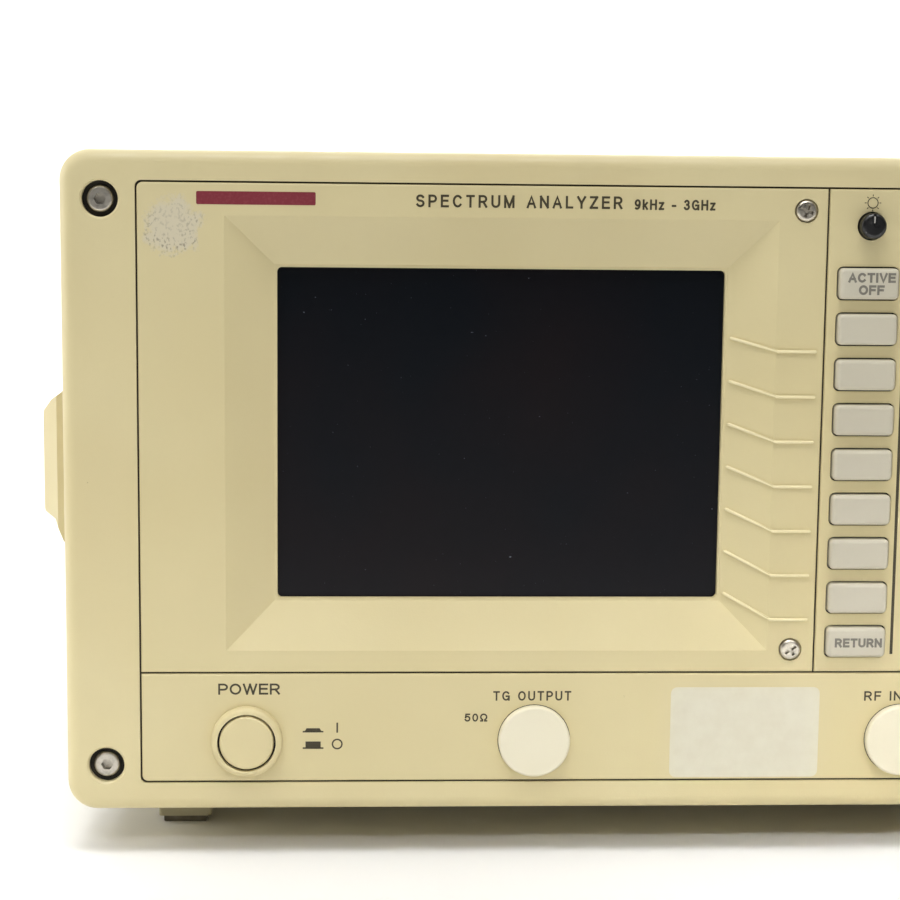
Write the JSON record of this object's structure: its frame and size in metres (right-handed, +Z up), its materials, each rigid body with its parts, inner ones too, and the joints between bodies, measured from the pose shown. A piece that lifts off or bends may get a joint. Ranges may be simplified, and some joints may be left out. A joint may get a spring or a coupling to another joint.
{
  "type": "spectrum analyzer",
  "caption": "Benchtop spectrum analyzer with a recessed screen, softkeys, keypad, tuning knob, capped RF jacks and a side carrying handle.",
  "frame": {"origin": "on the resting surface, under the centre of the whole object's bounding box", "axes": "+X to the right seen from the front, +Y from the front panel to the back, +Z up"},
  "size_m": [0.4394, 0.333, 0.19],
  "materials": {
    "cream_frame": "fine moulded texture",
    "panel_plastic": "fine moulded texture",
    "key_plastic": "satin",
    "cap_plastic": "satin",
    "black_plastic": "gloss",
    "knob_plastic": "satin",
    "grey_plastic": "satin",
    "foot_plastic": "satin",
    "strap_plastic": "fine moulded texture",
    "pad_rubber": "dull",
    "dome_rubber": "dull",
    "window": "gloss",
    "circuit_board": "gloss",
    "steel_screw": "plated",
    "bright_screw": "bright plated",
    "steel_sheet": "zinc plated",
    "plated_connector": "nickel plated",
    "cover_paint": "fine powder coat",
    "rear_sheet": "paint",
    "milled_aluminium": "milled"
  },
  "bodies": {
    "casing": {"front_frame": "cream_frame", "display_panel": "panel_plastic", "key_panel": "panel_plastic", "lower_panel": "panel_plastic", "frame_screws": "steel_screw", "panel_screws": "bright_screw", "display_window": "window", "lcd_module": "steel_sheet", "display_bracket": "steel_sheet", "key_mat": "dome_rubber", "key_board": "circuit_board", "brightness_potentiometer": "steel_sheet", "rotary_encoder": "steel_sheet", "power_ring": "cream_frame", "power_switch": "black_plastic", "tg_connector": "plated_connector", "rf_connector": "plated_connector", "bnc_jacks": "plated_connector", "chassis": "steel_sheet", "top_cover": "cover_paint", "bottom_cover": "cover_paint", "casing_screws": "bright_screw", "rear_panel": "rear_sheet", "interface_connectors": "plated_connector", "ac_inlet": "black_plastic", "rear_feet": "grey_plastic", "fan_housing": "black_plastic", "fan_guard": "bright_screw", "front_feet": "foot_plastic", "rear_bottom_feet": "foot_plastic", "foot_pads": "pad_rubber", "handle_caps": "cream_frame", "handle_screws": "bright_screw", "power_supply": "steel_sheet", "rf_module": "milled_aluminium", "main_board": "circuit_board"},
    "brightness_knob": {"brightness_knob": "black_plastic"},
    "data_knob": {"data_knob": "knob_plastic"},
    "power_button": {"power_button": "cream_frame"},
    "tg_cap": {"tg_cap": "cap_plastic"},
    "rf_cap": {"rf_cap": "cap_plastic"},
    "fuse_drawer": {"fuse_drawer": "black_plastic"},
    "fan_rotor": {"fan_rotor": "black_plastic"},
    "left_tilt_leg": {"left_tilt_leg": "foot_plastic"},
    "right_tilt_leg": {"right_tilt_leg": "foot_plastic"},
    "handle_strap": {"handle_strap": "strap_plastic"},
    "active_off_key": {"active_off_key": "key_plastic"},
    "softkey_1": {"softkey_1": "key_plastic"},
    "softkey_2": {"softkey_2": "key_plastic"},
    "softkey_3": {"softkey_3": "key_plastic"},
    "softkey_4": {"softkey_4": "key_plastic"},
    "softkey_5": {"softkey_5": "key_plastic"},
    "softkey_6": {"softkey_6": "key_plastic"},
    "softkey_7": {"softkey_7": "key_plastic"},
    "return_key": {"return_key": "key_plastic"},
    "function_keys_left": {"function_keys_left": "key_plastic"},
    "function_keys_right": {"function_keys_right": "key_plastic"},
    "number_keys": {"number_keys": "key_plastic"},
    "unit_keys": {"unit_keys": "key_plastic"},
    "step_keys": {"step_keys": "key_plastic"}
  },
  "joints": [
    {"name": "active_off_key_press", "type": "slide", "parent": "casing", "child": "active_off_key", "axis": [0, 1, 0], "range_m": [0, 0.0012], "stiffness_N_per_m": 400},
    {"name": "softkey_1_press", "type": "slide", "parent": "casing", "child": "softkey_1", "axis": [0, 1, 0], "range_m": [0, 0.0012], "stiffness_N_per_m": 400},
    {"name": "softkey_2_press", "type": "slide", "parent": "casing", "child": "softkey_2", "axis": [0, 1, 0], "range_m": [0, 0.0012], "stiffness_N_per_m": 400},
    {"name": "softkey_3_press", "type": "slide", "parent": "casing", "child": "softkey_3", "axis": [0, 1, 0], "range_m": [0, 0.0012], "stiffness_N_per_m": 400},
    {"name": "softkey_4_press", "type": "slide", "parent": "casing", "child": "softkey_4", "axis": [0, 1, 0], "range_m": [0, 0.0012], "stiffness_N_per_m": 400},
    {"name": "softkey_5_press", "type": "slide", "parent": "casing", "child": "softkey_5", "axis": [0, 1, 0], "range_m": [0, 0.0012], "stiffness_N_per_m": 400},
    {"name": "softkey_6_press", "type": "slide", "parent": "casing", "child": "softkey_6", "axis": [0, 1, 0], "range_m": [0, 0.0012], "stiffness_N_per_m": 400},
    {"name": "softkey_7_press", "type": "slide", "parent": "casing", "child": "softkey_7", "axis": [0, 1, 0], "range_m": [0, 0.0012], "stiffness_N_per_m": 400},
    {"name": "return_key_press", "type": "slide", "parent": "casing", "child": "return_key", "axis": [0, 1, 0], "range_m": [0, 0.0012], "stiffness_N_per_m": 400},
    {"name": "function_keys_left_press", "type": "slide", "parent": "casing", "child": "function_keys_left", "axis": [0, 1, 0], "range_m": [0, 0.0012], "stiffness_N_per_m": 3200},
    {"name": "function_keys_right_press", "type": "slide", "parent": "casing", "child": "function_keys_right", "axis": [0, 1, 0], "range_m": [0, 0.0012], "stiffness_N_per_m": 3200},
    {"name": "number_keys_press", "type": "slide", "parent": "casing", "child": "number_keys", "axis": [0, 1, 0], "range_m": [0, 0.0012], "stiffness_N_per_m": 4800},
    {"name": "unit_keys_press", "type": "slide", "parent": "casing", "child": "unit_keys", "axis": [0, 1, 0], "range_m": [0, 0.0012], "stiffness_N_per_m": 1600},
    {"name": "step_keys_press", "type": "slide", "parent": "casing", "child": "step_keys", "axis": [0, 1, 0], "range_m": [0, 0.0012], "stiffness_N_per_m": 800},
    {"name": "power_press", "type": "slide", "parent": "casing", "child": "power_button", "axis": [0, 1, 0], "range_m": [0, 0.003], "stiffness_N_per_m": 500},
    {"name": "brightness_turn", "type": "hinge", "parent": "casing", "child": "brightness_knob", "pos_m": [0.0092, -0.1515, 0.172], "axis": [0, -1, 0], "range_deg": [-140, 140]},
    {"name": "data_knob_turn", "type": "hinge", "parent": "casing", "child": "data_knob", "pos_m": [0.1477, -0.1515, 0.141], "axis": [0, -1, 0], "continuous": true},
    {"name": "tg_cap_pull", "type": "slide", "parent": "casing", "child": "tg_cap", "axis": [0, -1, 0], "range_m": [0, 0.014]},
    {"name": "rf_cap_pull", "type": "slide", "parent": "casing", "child": "rf_cap", "axis": [0, -1, 0], "range_m": [0, 0.014]},
    {"name": "fuse_drawer_pull", "type": "slide", "parent": "casing", "child": "fuse_drawer", "axis": [0, 1, 0], "range_m": [0, 0.016]},
    {"name": "fan_spin", "type": "hinge", "parent": "casing", "child": "fan_rotor", "pos_m": [-0.0783, 0.1285, 0.111], "axis": [0, 1, 0], "continuous": true},
    {"name": "left_leg_fold", "type": "hinge", "parent": "casing", "child": "left_tilt_leg", "pos_m": [-0.1753, -0.1025, 0.005], "axis": [-1, 0, 0], "range_deg": [0, 82]},
    {"name": "right_leg_fold", "type": "hinge", "parent": "casing", "child": "right_tilt_leg", "pos_m": [0.1907, -0.1025, 0.005], "axis": [-1, 0, 0], "range_deg": [0, 82]},
    {"name": "strap_lift", "type": "slide", "parent": "casing", "child": "handle_strap", "axis": [-1, 0, 0], "range_m": [0, 0.0014]}
  ]
}
